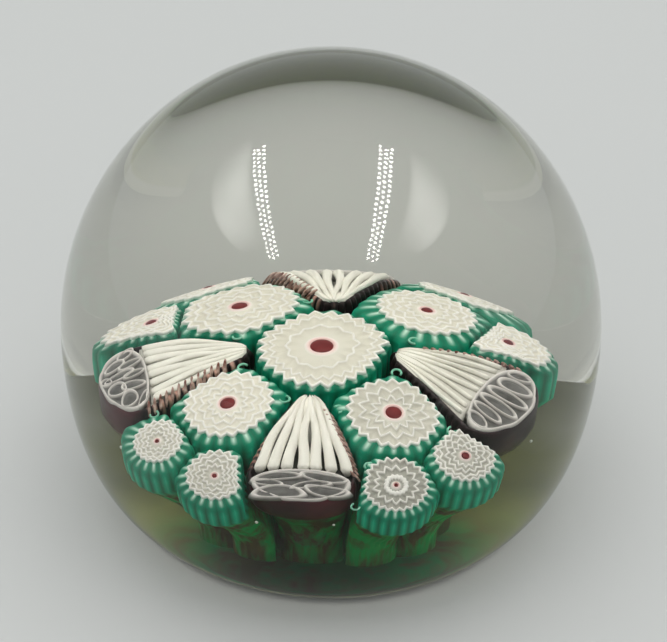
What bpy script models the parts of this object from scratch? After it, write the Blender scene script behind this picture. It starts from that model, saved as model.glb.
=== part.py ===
"""Millefiori glass paperweight.

A heavy clear crystal dome encases a domed cushion of patterned glass canes: one centre cane, four
inner canes, eight outer canes and four shell canes.  Each cane is drawn in towards the flat ground
base.  Every layer of every cane is a solid of its own, as it is when the cane is built up in glass.
Metres, +Z up, origin at the middle of the flat base.
"""
import math

import bmesh
import bpy

# ---- driving dimensions -------------------------------------------------------------------------
MM = 0.001
DOME_RADIUS = 35.0 * MM          # greatest radius of the weight
WIDEST_LEVEL = 22.7 * MM         # height of that greatest radius
DOME_HEIGHT = 59.3 * MM
LOWER_REACH = 25.0 * MM          # height of the rounded lower part, before the base cuts it
LOWER_FULLNESS = 6.5             # how full the lower part stays towards the base
PAD_THICKNESS = 2.6 * MM         # clear pad under the cane cushion
GROUND_EDGE = 1.2 * MM           # rounded heel of the ground base
JOINT_GAP = 0.3 * MM             # between dome and pad

CUSHION_APEX = 21.7 * MM         # top of the cane cushion, on the axis
CUSHION_CURVE = 33.5 * MM        # radius of curvature of the cushion
CUSHION_REACH = 25.6 * MM        # from the apex to the cushion's rim, along its curve
TAIL_LEVEL = 3.1 * MM            # where the drawn-in canes end
TAIL_DRAW = 0.56                 # width of the drawn-in cluster over its width at the top
LAYER_GAP = 0.42 * MM            # between layers and between canes, at the top

DOME_STEPS = 40                  # facets round the dome
UPPER_RINGS = 9
LOWER_RINGS = 4
CEILING_RINGS = 5
CANE_STEPS = 24                  # facets round a cane
STAR_TEETH = 12
CORE_STEPS = 8

CASING_WALL = 0.15               # these three over the cane's own radius
TOOTH_DEPTH = 0.09
EYE = 0.27

# cane: bearing of its centre in degrees, distance from the apex along the cushion, its radius
ROUND_CANES = {
    "centre_cane": (-140, 1.0 * MM, 6.3 * MM),
    "inner_front_left": (-142, 12.0 * MM, 5.9 * MM),
    "inner_front_right": (-57, 10.9 * MM, 5.9 * MM),
    "inner_back_right": (43, 10.6 * MM, 5.9 * MM),
    "inner_back_left": (135, 10.5 * MM, 5.9 * MM),
    "outer_left_front": (-150, 19.7 * MM, 4.6 * MM),
    "outer_front_left": (-126, 20.2 * MM, 4.6 * MM),
    "outer_front_right": (-69, 19.5 * MM, 4.6 * MM),
    "outer_right_front": (-43, 18.6 * MM, 4.6 * MM),
    "outer_right_back": (21, 16.4 * MM, 4.7 * MM),
    "outer_back_right": (55, 17.6 * MM, 4.7 * MM),
    "outer_back_left": (122, 17.6 * MM, 4.7 * MM),
    "outer_left_back": (148, 17.4 * MM, 4.7 * MM),
}

# shell cane: bearing and distance of its pointed end, and the bearing in which it opens
SHELL_CANES = {
    "shell_front": (-105, 7.4 * MM, -95),
    "shell_right": (-4, 5.6 * MM, -13),
    "shell_back": (88, 7.0 * MM, 91),
    "shell_left": (180, 7.0 * MM, 177),
}
SHELL_LENGTH = 14.0 * MM
SHELL_HALF_WIDTH = 5.4 * MM
SHELL_POINT = 0.8 * MM           # half width at the pointed end
RIB_COUNT = 7
RIB_SPREAD = 19.0                # degrees to each side
RIB_LEAN = -4.0                  # the ribs lean this many degrees away from the thread
RIB_FOCUS = -0.6 * MM            # where the ribs would meet
RIB_REACH = 9.2 * MM
RIB_ROOT = 4.4 * MM
RIB_SLOT = 1.2                   # half the slot between two ribs, in degrees
FOLD_SCALLOPS = 5
FOLD_HALF_WIDTH = 3.3 * MM
JACKET_WALL = 0.35 * MM
JACKET_THREAD_SIDE = 0.75 * MM
JACKET_END = 0.8 * MM
THREAD_WIDTH = 0.32 * MM
THREAD_START = (4.2 * MM, 1.76 * MM)

# colour, roughness
MATERIALS = {
    "crystal": ((0.90, 0.92, 0.86), 0.03),
    "white": ((0.84, 0.83, 0.78), 0.30),
    "ruby": ((0.34, 0.02, 0.03), 0.25),
    "green": ((0.01, 0.22, 0.11), 0.20),
    "amethyst": ((0.05, 0.01, 0.03), 0.20),
    "folds": ((0.42, 0.40, 0.42), 0.25),
    "thread": ((0.62, 0.36, 0.30), 0.30),
}


# ---- scene helpers ------------------------------------------------------------------------------
def make_materials():
    made = {}
    for name, (colour, roughness) in MATERIALS.items():
        material = bpy.data.materials.new(name)
        material.use_nodes = True
        shader = material.node_tree.nodes["Principled BSDF"]
        shader.inputs["Base Color"].default_value = (*colour, 1.0)
        shader.inputs["Roughness"].default_value = roughness
        shader.inputs["Metallic"].default_value = 0.0
        material.diffuse_color = (*colour, 1.0)
        made[name] = material
    return made


def finish(bm, name, material):
    """Turns a closed bmesh into a named object with one material."""
    bmesh.ops.remove_doubles(bm, verts=bm.verts, dist=0.000001)
    bmesh.ops.recalc_face_normals(bm, faces=bm.faces)
    mesh = bpy.data.meshes.new(name)
    bm.to_mesh(mesh)
    bm.free()
    mesh.materials.append(material)
    mesh.shade_smooth()
    mesh.set_sharp_from_angle(angle=math.radians(40))
    piece = bpy.data.objects.new(name, mesh)
    bpy.context.scene.collection.objects.link(piece)
    return piece


# ---- the glass ----------------------------------------------------------------------------------
def wall_radius(level):
    """Outer radius of the weight at a height."""
    if level >= WIDEST_LEVEL:
        reach = DOME_HEIGHT - WIDEST_LEVEL
        part = min(1.0, (level - WIDEST_LEVEL) / reach)
        return DOME_RADIUS * math.sqrt(1.0 - part * part)
    part = (WIDEST_LEVEL - level) / LOWER_REACH
    return DOME_RADIUS * (1.0 - part * part) ** (1.0 / LOWER_FULLNESS)


def turn(profile, name, material):
    """Spins a closed half profile of (radius, height) points about the axis."""
    bm = bmesh.new()
    points = [bm.verts.new((radius, 0.0, level)) for radius, level in profile]
    edges = [bm.edges.new(pair) for pair in zip(points, points[1:])]
    if profile[0][0] > 0.0:
        edges.append(bm.edges.new((points[-1], points[0])))
    bmesh.ops.spin(bm, geom=points + edges, cent=(0, 0, 0), axis=(0, 0, 1),
                   angle=math.tau, steps=DOME_STEPS, use_merge=True)
    bmesh.ops.remove_doubles(bm, verts=bm.verts, dist=0.000001)
    bmesh.ops.dissolve_degenerate(bm, edges=bm.edges, dist=0.000001)
    return finish(bm, name, material)


def crystal_dome(material):
    """The clear encasement: full outside, and a bell-shaped bed for the cane cushion below."""
    foot = PAD_THICKNESS + JOINT_GAP
    outside = []
    for ring in range(LOWER_RINGS):
        level = foot + (WIDEST_LEVEL - foot) * ring / LOWER_RINGS
        outside.append((wall_radius(level), level))
    for ring in range(UPPER_RINGS + 1):
        angle = 0.5 * math.pi * ring / UPPER_RINGS
        level = WIDEST_LEVEL + (DOME_HEIGHT - WIDEST_LEVEL) * math.sin(angle)
        outside.append((DOME_RADIUS * math.cos(angle), level))
    outside[-1] = (0.0, DOME_HEIGHT)
    inside = []
    for ring in range(CEILING_RINGS + 1):
        turned = CUSHION_REACH / CUSHION_CURVE * ring / CEILING_RINGS
        radius = (CUSHION_CURVE + LAYER_GAP) * math.sin(turned)
        level = CUSHION_APEX - CUSHION_CURVE + (CUSHION_CURVE + LAYER_GAP) * math.cos(turned)
        inside.append((radius, level))
    inside[0] = (0.0, CUSHION_APEX + LAYER_GAP)
    rim_radius = inside[-1][0]
    inside.append((rim_radius * TAIL_DRAW + LAYER_GAP, foot))
    # from the outer foot up to the top, and back down the inside
    bm = bmesh.new()
    spun = []
    for run in (outside, inside):
        points = [bm.verts.new((radius, 0.0, level)) for radius, level in run]
        spun += points
        spun += [bm.edges.new(pair) for pair in zip(points, points[1:])]
    bm.verts.ensure_lookup_table()
    spun.append(bm.edges.new((bm.verts[0], bm.verts[-1])))
    bmesh.ops.spin(bm, geom=spun, cent=(0, 0, 0), axis=(0, 0, 1),
                   angle=math.tau, steps=DOME_STEPS, use_merge=True)
    return finish(bm, "crystal_dome", material)


def base_pad(material):
    """Clear pad that closes the dome below, with the flat ground base."""
    profile = [(0.0, 0.0), (wall_radius(0.0) - GROUND_EDGE, 0.0)]
    for part in (0.15, 0.6, 1.0):
        level = PAD_THICKNESS * part
        profile.append((wall_radius(level), level))
    profile.append((0.0, PAD_THICKNESS))
    return turn(profile, "base_pad", material)


# ---- the draw: from the flat layout to the bent, drawn-in cushion ---------------------------------
def draw_in(across, away, depth):
    """Places a point of the flat layout: depth 0 on the cushion's top, 1 at the tails."""
    reach = math.hypot(across, away)
    bearing = math.atan2(away, across)
    turned = reach / CUSHION_CURVE
    top_radius = CUSHION_CURVE * math.sin(turned)
    top_level = CUSHION_APEX - CUSHION_CURVE * (1.0 - math.cos(turned))
    radius = top_radius * (1.0 + (TAIL_DRAW - 1.0) * depth)
    level = top_level + (TAIL_LEVEL - top_level) * depth
    return (radius * math.cos(bearing), radius * math.sin(bearing), level)


def finish_cane(bm, name, material):
    """Extrudes a flat section down by its full depth and draws it in."""
    down = bmesh.ops.extrude_face_region(bm, geom=bm.faces[:])
    tails = [item for item in down["geom"] if isinstance(item, bmesh.types.BMVert)]
    for vert in tails:
        vert.co.z = 1.0
    for vert in bm.verts:
        vert.co = draw_in(*vert.co)
    return finish(bm, name, material)


def ring_loop(bm, centre, outline, steps):
    """A closed loop of edges round a centre, at outline(angle) from it."""
    made = bmesh.ops.create_circle(bm, segments=steps, radius=1.0)
    for index, vert in enumerate(made["verts"]):
        angle = math.tau * index / steps
        reach = outline(angle)
        vert.co = (centre[0] + reach * math.cos(angle), centre[1] + reach * math.sin(angle), 0.0)
    return list({edge for vert in made["verts"] for edge in vert.link_edges})


def rod(name, centre, outline, steps, material):
    bm = bmesh.new()
    edges = ring_loop(bm, centre, outline, steps)
    bmesh.ops.contextual_create(bm, geom=edges)
    return finish_cane(bm, name, material)


def tube(name, centre, outer, inner, steps, material):
    bm = bmesh.new()
    edges = ring_loop(bm, centre, outer, steps) + ring_loop(bm, centre, inner, steps)
    bmesh.ops.bridge_loops(bm, edges=edges)
    return finish_cane(bm, name, material)


# ---- layout ---------------------------------------------------------------------------------------
def polar(bearing, distance):
    angle = math.radians(bearing)
    return (distance * math.cos(angle), distance * math.sin(angle))


def shell_frame(name):
    """The pointed end of a shell cane, its opening direction and the direction to its left."""
    bearing, distance, opening = SHELL_CANES[name]
    return polar(bearing, distance), polar(opening, 1.0), polar(opening + 90.0, 1.0)


def shell_point(name, along, side):
    point, forward, left = shell_frame(name)
    return (point[0] + forward[0] * along + left[0] * side,
            point[1] + forward[1] * along + left[1] * side)


def shell_flank(inset_left, inset_right, ends):
    """Outline of a shell cane, as (along, side) points, drawn in from its full outline."""
    shoulder = 0.66 * SHELL_LENGTH
    full = 0.86 * SHELL_LENGTH
    tip = SHELL_LENGTH - ends
    half = ((ends, SHELL_POINT), (shoulder, SHELL_HALF_WIDTH - 0.3 * MM),
            (full, SHELL_HALF_WIDTH), (tip, 0.62 * SHELL_HALF_WIDTH))
    right = [(along, -max(0.25 * MM, side - inset_right)) for along, side in half]
    left = [(along, max(0.25 * MM, side - inset_left)) for along, side in half]
    return right + left[::-1]


def neighbour_limits(name):
    """Half planes (normal, distance) that the cane's neighbours leave it, from its own centre."""
    bearing, distance, radius = ROUND_CANES[name]
    centre = polar(bearing, distance)
    limits = []
    for other, (other_bearing, other_distance, other_radius) in ROUND_CANES.items():
        if other == name:
            continue
        place = polar(other_bearing, other_distance)
        away = (place[0] - centre[0], place[1] - centre[1])
        gap = math.hypot(*away)
        if gap < radius + other_radius + LAYER_GAP:
            share = 0.5 * (gap * gap + radius * radius - other_radius * other_radius) / gap
            limits.append(((away[0] / gap, away[1] / gap), share - 0.5 * LAYER_GAP))
    for shell in SHELL_CANES:
        outline = [shell_point(shell, *point) for point in shell_flank(0.0, 0.0, 0.0)]
        nearest = None
        for start, end in zip(outline, outline[1:] + outline[:1]):
            run = (end[0] - start[0], end[1] - start[1])
            length = math.hypot(*run)
            outward = (run[1] / length, -run[0] / length)
            room = ((centre[0] - start[0]) * outward[0] + (centre[1] - start[1]) * outward[1])
            if nearest is None or room > nearest[1]:
                nearest = (outward, room)
        outward, room = nearest
        if room < radius + LAYER_GAP:
            limits.append(((-outward[0], -outward[1]), room - LAYER_GAP))
    return centre, radius, limits


def cane_outline(radius, limits):
    """Round, but pressed flat against each neighbour."""
    def outline(angle):
        reach = radius
        for normal, distance in limits:
            facing = math.cos(angle) * normal[0] + math.sin(angle) * normal[1]
            if facing > 0.01:
                reach = min(reach, distance / facing)
        return reach
    return outline


# ---- canes ----------------------------------------------------------------------------------------
def round_cane(name, materials):
    centre, radius, limits = neighbour_limits(name)
    casing_outer = cane_outline(radius, limits)
    eye = EYE * radius

    def casing_inner(angle):
        return casing_outer(angle) - CASING_WALL * radius

    def star_outer(angle):
        tooth = 0.5 - 0.5 * math.cos(STAR_TEETH * angle)
        return casing_inner(angle) - LAYER_GAP - TOOTH_DEPTH * radius * tooth

    rod(name + "_eye", centre, lambda angle: eye - LAYER_GAP, CORE_STEPS, materials["ruby"])
    tube(name + "_star", centre, star_outer, lambda angle: eye, CANE_STEPS, materials["white"])
    tube(name + "_casing", centre, casing_outer, casing_inner, CANE_STEPS, materials["green"])


def flat_section(name, loop):
    bm = bmesh.new()
    verts = [bm.verts.new((*shell_point(name, *point), 0.0)) for point in loop]
    bm.faces.new(verts)
    return bm


def rib_point(reach, turned):
    """A point (along, side) at a reach and an angle from where the ribs would meet."""
    angle = math.radians(turned)
    return (RIB_FOCUS + reach * math.cos(angle), reach * math.sin(angle))


def shell_ribs(name, material):
    """White ribs that spread from the pointed end like the ribs of a fan."""
    step = 2.0 * RIB_SPREAD / RIB_COUNT
    loop = [(0.9 * MM, -0.3 * MM)]
    for rib in range(RIB_COUNT):
        start = RIB_LEAN - RIB_SPREAD + rib * step
        loop.append(rib_point(RIB_REACH, start + RIB_SLOT))
        loop.append(rib_point(RIB_REACH, start + step - RIB_SLOT))
        if rib < RIB_COUNT - 1:
            loop.append(rib_point(RIB_ROOT, start + step))
    loop.append((0.9 * MM, 0.2 * MM))
    finish_cane(flat_section(name, loop), name + "_ribs", material)


def shell_folds(name, material):
    """The folded rim of the shell, with a scalloped outer edge."""
    inner = RIB_REACH + LAYER_GAP
    loop = []
    for step in range(FOLD_SCALLOPS + 1):
        loop.append(rib_point(inner, RIB_LEAN + RIB_SPREAD * (1.0 - 2.0 * step / FOLD_SCALLOPS)))
    for step in range(2 * FOLD_SCALLOPS + 1):
        share = step / FOLD_SCALLOPS - 1.0
        bulge = 0.35 * MM if step % 2 else 0.0
        along = SHELL_LENGTH - 2.1 * MM + bulge - 0.9 * MM * share * share
        loop.append((along, share * FOLD_HALF_WIDTH - 0.35 * MM))
    finish_cane(flat_section(name, loop), name + "_folds", material)


def shell_jacket(name, material):
    """Dark glass wrapped round the whole shell."""
    bm = bmesh.new()
    edges = []
    inside = shell_flank(JACKET_WALL, JACKET_THREAD_SIDE, JACKET_END)
    for loop in (shell_flank(0.0, 0.0, 0.0), inside):
        verts = [bm.verts.new((*shell_point(name, *point), 0.0)) for point in loop]
        edges += [bm.edges.new(pair) for pair in zip(verts, verts[1:] + verts[:1])]
    bmesh.ops.bridge_loops(bm, edges=edges)
    finish_cane(bm, name + "_jacket", material)


def shell_thread(name, material):
    """Thin pale thread of glass along one flank, just inside the jacket."""
    flank = shell_flank(JACKET_WALL + LAYER_GAP, 0.0, JACKET_END)
    outer = [THREAD_START, flank[6], flank[5]]
    inner = [(along, side - THREAD_WIDTH) for along, side in outer]
    finish_cane(flat_section(name, outer + inner[::-1]), name + "_thread", material)


def shell_cane(name, materials):
    shell_ribs(name, materials["white"])
    shell_folds(name, materials["folds"])
    shell_jacket(name, materials["amethyst"])
    shell_thread(name, materials["thread"])


def build():
    for item in list(bpy.data.objects):
        bpy.data.objects.remove(item, do_unlink=True)
    materials = make_materials()
    crystal_dome(materials["crystal"])
    base_pad(materials["crystal"])
    for name in ROUND_CANES:
        round_cane(name, materials)
    for name in SHELL_CANES:
        shell_cane(name, materials)


build()
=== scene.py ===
import math
import random

import bmesh
import bpy
from mathutils import Matrix, Vector


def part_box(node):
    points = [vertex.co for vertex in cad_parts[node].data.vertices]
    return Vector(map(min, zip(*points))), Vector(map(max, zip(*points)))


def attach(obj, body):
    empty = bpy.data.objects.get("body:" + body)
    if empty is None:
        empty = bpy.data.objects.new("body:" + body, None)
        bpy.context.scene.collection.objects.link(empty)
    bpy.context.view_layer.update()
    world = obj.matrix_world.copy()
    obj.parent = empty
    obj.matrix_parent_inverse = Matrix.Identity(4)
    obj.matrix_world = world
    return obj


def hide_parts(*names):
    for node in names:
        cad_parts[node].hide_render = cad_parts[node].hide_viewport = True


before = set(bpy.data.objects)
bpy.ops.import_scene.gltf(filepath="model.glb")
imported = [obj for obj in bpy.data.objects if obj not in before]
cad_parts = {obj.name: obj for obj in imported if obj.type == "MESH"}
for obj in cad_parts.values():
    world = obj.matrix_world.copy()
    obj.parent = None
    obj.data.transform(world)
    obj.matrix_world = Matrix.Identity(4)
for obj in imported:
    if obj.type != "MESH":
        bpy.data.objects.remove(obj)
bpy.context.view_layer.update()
mm = 0.001
random.seed(7)


# shader maths written as expressions
class Sock:
    def __init__(self, shade, socket):
        self.shade = shade
        self.socket = socket

    def math(self, operation, first, second, clamp=False):
        settings = {"operation": operation, "use_clamp": clamp}
        return self.shade.node("ShaderNodeMath", settings, {0: first, 1: second})

    def __add__(self, other):
        return self.math("ADD", self, other)

    def __radd__(self, other):
        return self.math("ADD", other, self)

    def __sub__(self, other):
        return self.math("SUBTRACT", self, other)

    def __rsub__(self, other):
        return self.math("SUBTRACT", other, self)

    def __mul__(self, other):
        return self.math("MULTIPLY", self, other)

    def __rmul__(self, other):
        return self.math("MULTIPLY", other, self)

    def __truediv__(self, other):
        return self.math("DIVIDE", self, other)

    def clamped(self):
        return self.math("ADD", self, 0.0, clamp=True)

    def between(self, low, high):  # 0 below low, 1 above high
        return ((self - low) / (high - low)).clamped()


class Shade:
    def __init__(self, name):
        self.material = bpy.data.materials.new(name)
        self.material.use_nodes = True
        self.nodes = self.material.node_tree.nodes
        self.links = self.material.node_tree.links
        self.nodes.clear()
        self.shader = self.nodes.new("ShaderNodeBsdfPrincipled")
        self.output = self.nodes.new("ShaderNodeOutputMaterial")
        self.links.new(self.shader.outputs[0], self.output.inputs["Surface"])

    def node(self, kind, settings, inputs, out=0):  # one node: settings first, then its sockets
        made = self.nodes.new(kind)
        for key, value in settings.items():
            setattr(made, key, value)
        self.feed(made, inputs)
        return Sock(self, made.outputs[out])

    def feed(self, made, inputs):
        for key, value in inputs.items():
            if isinstance(value, Sock):
                self.links.new(value.socket, made.inputs[key])
            else:
                made.inputs[key].default_value = value

    def attribute(self, name):
        return self.node("ShaderNodeAttribute", {"attribute_name": name}, {}, "Fac")

    def spot(self):
        return self.node("ShaderNodeTexCoord", {}, {}, "Object")

    def noise(self, scale, detail=3.0, rough=0.5, vector=None):
        inputs = {"Vector": vector or self.spot(), "Scale": scale, "Detail": detail, "Roughness": rough}
        return self.node("ShaderNodeTexNoise", {}, inputs, "Fac")

    def stretched(self, across, away, up):
        return self.node("ShaderNodeMapping", {"vector_type": "POINT"},
                         {"Vector": self.spot(), "Scale": (across, away, up)}, "Vector")

    def mix(self, factor, first, second):  # from one colour to another
        first, second = ((*colour, 1.0) if isinstance(colour, tuple) else colour for colour in (first, second))
        settings = {"data_type": "RGBA", "blend_type": "MIX"}
        return self.node("ShaderNodeMix", settings, {0: factor, 6: first, 7: second}, 2)

    def bump(self, height, strength, distance):
        inputs = {"Height": height, "Strength": strength, "Distance": distance}
        return self.node("ShaderNodeBump", {}, inputs, "Normal")

    def finish(self, **inputs):
        names = {key.replace("_", " "): value for key, value in inputs.items()}
        self.feed(self.shader, names)
        return self.material


# sizes read from the frame
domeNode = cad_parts["crystal_dome"]
domeLow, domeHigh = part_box("crystal_dome")
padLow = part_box("base_pad")[0]
starLow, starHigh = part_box("centre_cane_star")
widestVert = max(domeNode.data.vertices, key=lambda v: v.co.x ** 2 + v.co.y ** 2)
baseVerts = [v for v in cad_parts["base_pad"].data.vertices if v.co.z < padLow.z + 0.01 * mm]

crystal = {
    "radius": 0.5 * (domeHigh.x - domeLow.x),
    "height": domeHigh.z,
    "widest": widestVert.co.z,
    "lowerReach": 25.0 * mm,  # depth of the rounded lower part, before the base cuts it
    "lowerFullness": 6.5,
    "baseRadius": max(math.hypot(v.co.x, v.co.y) for v in baseVerts),
    "rings": 40,
    "steps": 144,
    "ior": 1.5,
    "tint": (0.923, 0.917, 0.857),  # a trace of straw colour in the depth
    "tintDepth": 22.0,
}
cushion = {
    "apex": starHigh.z,
    "curve": 33.5 * mm,
    "tail": starLow.z,
    "collar": 3.2 * mm,   # the canes stand nearly upright as far down as this
    "long": 14.5 * mm,
    "lean": 0.05,
    "backRoll": 1.7 * mm,   # the cushion's far side falls away faster
    "rollFrom": 12.5 * mm,
    "rollOver": 8.0 * mm,
    "tuck": 0.42,         # how much the canes draw in under the collar
    "sharp": 2.3,
}
print("frame read:", {key: round(value, 4) for key, value in crystal.items() if isinstance(value, float)})


def wallRadius(level):
    if level >= crystal["widest"]:
        part = min(1.0, (level - crystal["widest"]) / (crystal["height"] - crystal["widest"]))
        return crystal["radius"] * math.sqrt(1.0 - part * part)
    part = (crystal["widest"] - level) / crystal["lowerReach"]
    return crystal["radius"] * (1.0 - part * part) ** (1.0 / crystal["lowerFullness"])


def keepMesh(bm, name, material):
    bmesh.ops.recalc_face_normals(bm, faces=bm.faces)
    mesh = bpy.data.meshes.new(name)
    bm.to_mesh(mesh)
    bm.free()
    mesh.materials.append(material)
    mesh.shade_smooth()
    piece = bpy.data.objects.new(name, mesh)
    bpy.context.scene.collection.objects.link(piece)
    return piece


def place(piece, slot, *nodes):  # nodes: what the piece stands in for
    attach(piece, "root")
    if nodes:
        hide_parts(*nodes)
    return piece


def crystalMaterial():
    shade = Shade("clearCrystal")
    depth = shade.node("ShaderNodeVolumeAbsorption", {},
                       {"Color": (*crystal["tint"], 1.0), "Density": crystal["tintDepth"]})
    shade.links.new(depth.socket, shade.output.inputs["Volume"])
    return shade.finish(Base_Color=(1, 1, 1, 1), Roughness=0.0, IOR=crystal["ior"],
                        Transmission_Weight=1.0)


def makeCrystal():
    heel = wallRadius(0.0) - crystal["baseRadius"]
    profile = [(0.0, 0.0)]
    for step in range(9):  # the ground base's rounded heel
        angle = 0.5 * math.pi * step / 8
        level = heel * (1.0 - math.cos(angle))
        profile.append((wallRadius(level) - heel * (1.0 - math.sin(angle)), level))
    for ring in range(1, crystal["rings"] + 1):
        level = heel + (crystal["widest"] - heel) * ring / crystal["rings"]
        profile.append((wallRadius(level), level))
    for ring in range(1, crystal["rings"]):
        angle = 0.5 * math.pi * ring / crystal["rings"]
        level = crystal["widest"] + (crystal["height"] - crystal["widest"]) * math.sin(angle)
        profile.append((crystal["radius"] * math.cos(angle), level))
    profile.append((0.0, crystal["height"]))
    bm = bmesh.new()
    verts = [bm.verts.new((radius, 0.0, level)) for radius, level in profile]
    edges = [bm.edges.new(pair) for pair in zip(verts, verts[1:])]
    bmesh.ops.spin(bm, geom=verts + edges, cent=(0, 0, 0), axis=(0, 0, 1),
                   angle=math.tau, steps=crystal["steps"], use_merge=True)
    bmesh.ops.remove_doubles(bm, verts=bm.verts, dist=0.002 * mm)
    place(keepMesh(bm, "crystal_glass", crystalMaterial()), "crystal", "crystal_dome", "base_pad")


groundFace = {  # lengths in mm
    "top": 0.16,
    "under": 0.06,
    "thick": 0.12,
    "rings": 7,
    "heelLevels": (0.3, 0.6, 0.9, 1.2),  # it also turns a little way up the heel
    "inset": 0.42,
    "heelInset": 0.5,
    "shadeBehindFrom": 6.0,    # painted shade: it darkens towards the far side, where the canes shade it
    "shadeBehindOver": 8.0,
    "steps": 96,
    # the middle, under the canes, is painted darker as shade; the pale rim is painted light coming in at the
    # edge
    "brown": (0.105, 0.098, 0.042),
    "green": (0.006, 0.29, 0.082),
    "olive": ((0.25, 0.32, 0.080), (0.52, 0.51, 0.18)),
    "rim": ((0.78, 0.79, 0.70), (0.88, 0.88, 0.80)),
    # the colour of the painted shade at the far side
    "shadeBehind": (0.085, 0.095, 0.040),
}


def groundMaterial():
    shade = Shade("groundGlass")
    reach = shade.attribute("reach")
    cloud = shade.noise(130.0, 4.0, 0.6)
    streak = shade.noise(60.0, 3.0)
    # painted shade under the canes in the middle, olive further out, painted light at the rim
    inner = shade.mix(cloud.between(0.45, 0.58), groundFace["brown"], groundFace["green"])
    outer = shade.mix(streak.between(0.3, 0.7), *groundFace["olive"])
    litRimTone = shade.mix(cloud, *groundFace["rim"])
    colour = shade.mix(reach.between(0.30, 0.50), inner, outer)
    colour = shade.mix(reach.between(0.80, 0.92), colour, litRimTone)
    # painted shade towards the far side
    colour = shade.mix(shade.attribute("shadeBehind") * 0.85, colour, groundFace["shadeBehind"])
    return shade.finish(Base_Color=colour, Roughness=0.8, Specular_IOR_Level=0.1,
                        Normal=shade.bump(cloud, 0.2, 0.1 * mm))


def makeGroundFace():  # the frosted face of the ground base, just inside the crystal, with painted shade under the canes and painted light at its rim
    bm = bmesh.new()
    reachMark = bm.verts.layers.float.new("reach")
    shadeBehindMark = bm.verts.layers.float.new("shadeBehind")
    base = crystal["baseRadius"] / mm
    levels = groundFace["heelLevels"]
    rings = groundFace["rings"]
    rows = [(base * ring / rings, groundFace["top"]) for ring in range(rings + 1)]
    for level in levels:
        drawnIn = groundFace["heelInset"] * (1.0 - min(1.0, level / levels[-1])) ** 2
        rows.append((wallRadius(level * mm) / mm - groundFace["inset"] - drawnIn, level))
    face = rows[-1][0]
    rows += [(radius + groundFace["thick"], level) for radius, level in reversed(rows[rings + 1:])]
    rows += [(base, groundFace["under"]), (0.0, groundFace["under"])]
    verts = [bm.verts.new((radius * mm, 0.0, level * mm)) for radius, level in rows]
    edges = [bm.edges.new(pair) for pair in zip(verts, verts[1:])]
    bmesh.ops.spin(bm, geom=verts + edges, cent=(0, 0, 0), axis=(0, 0, 1),
                   angle=math.tau, steps=groundFace["steps"], use_merge=True)
    bmesh.ops.remove_doubles(bm, verts=bm.verts, dist=0.002 * mm)
    for vert in bm.verts:
        vert[reachMark] = math.hypot(vert.co.x, vert.co.y) / (face * mm)
        past = (vert.co.y / mm - groundFace["shadeBehindFrom"]) / groundFace["shadeBehindOver"]
        vert[shadeBehindMark] = min(1.0, max(0.0, past))
    place(keepMesh(bm, "ground_face", groundMaterial()), "crystal")


# the canes are laid out flat and then drawn: sink is 0 on the cushion's face and "long" at the tails
def spotOn(across, away, sink):
    reach = math.hypot(across, away)
    bearing = math.atan2(away, across)
    turned = reach / cushion["curve"]
    topRadius = cushion["curve"] * math.sin(turned)
    topLevel = cushion["apex"] - cushion["curve"] * (1.0 - math.cos(turned))
    beyond = max(0.0, reach - cushion["rollFrom"]) / cushion["rollOver"]
    topLevel -= cushion["backRoll"] * max(0.0, math.sin(bearing)) * beyond * beyond
    drop = topLevel - cushion["tail"]
    upright = min(sink, cushion["collar"])
    down = upright / math.hypot(drop, 0.2 * topRadius)
    rest = max(0.0, sink - cushion["collar"]) / (cushion["long"] - cushion["collar"])
    down += (1.0 - down) * rest
    tucked = 1.0 - (1.0 - rest) ** cushion["sharp"]
    drawn = 1.0 - cushion["lean"] * upright / cushion["collar"] - cushion["tuck"] * tucked
    radius = topRadius * drawn
    return Vector((radius * math.cos(bearing), radius * math.sin(bearing), topLevel - drop * down))


def zigzag(teeth, angle, turn=0.0):
    cycle = (teeth * angle / math.tau + turn) % 1.0
    return 4.0 * abs(cycle - 0.5) - 1.0


def blendTo(low, high, value):
    part = min(1.0, max(0.0, (value - low) / (high - low)))
    return part * part * (3.0 - 2.0 * part)


def asValue(value, angle):
    return value(angle) if callable(value) else value


class Loft:  # a closed loop of vertices, extruded ring by ring
    def __init__(self, count, marks, spot, bm=None):
        self.bm = bm or bmesh.new()
        self.count = count
        ints, floats = self.bm.verts.layers.int, self.bm.verts.layers.float
        self.step = ints.get("step") or ints.new("step")
        for mark in marks:
            if mark not in floats:
                floats.new(mark)
        self.marks = {mark: floats[mark] for mark in marks}
        self.spot = spot  # gives the place of a vertex from its angle, reach and sink

    def begin(self, reach, sink, **values):
        self.ring = bmesh.ops.create_circle(self.bm, segments=self.count, radius=1.0)["verts"]
        for index, vert in enumerate(self.ring):
            vert[self.step] = index
        self.edges = list({edge for vert in self.ring for edge in vert.link_edges})
        self.start = self.edges
        self.settle(reach, sink, values)

    def settle(self, reach, sink, values):
        for vert in self.ring:
            angle = math.tau * vert[self.step] / self.count
            vert.co = self.spot(angle, asValue(reach, angle), asValue(sink, angle))
            for mark, value in values.items():
                vert[self.marks[mark]] = asValue(value, angle)

    def go(self, reach, sink, **values):
        out = bmesh.ops.extrude_edge_only(self.bm, edges=self.edges)["geom"]
        self.ring = [item for item in out if isinstance(item, bmesh.types.BMVert)]
        fresh = set(self.ring)
        self.edges = [item for item in out if isinstance(item, bmesh.types.BMEdge)
                      and item.verts[0] in fresh and item.verts[1] in fresh]
        self.settle(reach, sink, values)

    def cap(self, edges=None):
        bmesh.ops.contextual_create(self.bm, geom=edges or self.edges)

    def shut(self):  # joins the last ring to the first, as in a tube with a wall
        bmesh.ops.bridge_loops(self.bm, edges=self.start + self.edges)

    def keep(self, name, material):
        self.bm.verts.layers.int.remove(self.step)
        return keepMesh(self.bm, name, material)


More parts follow.
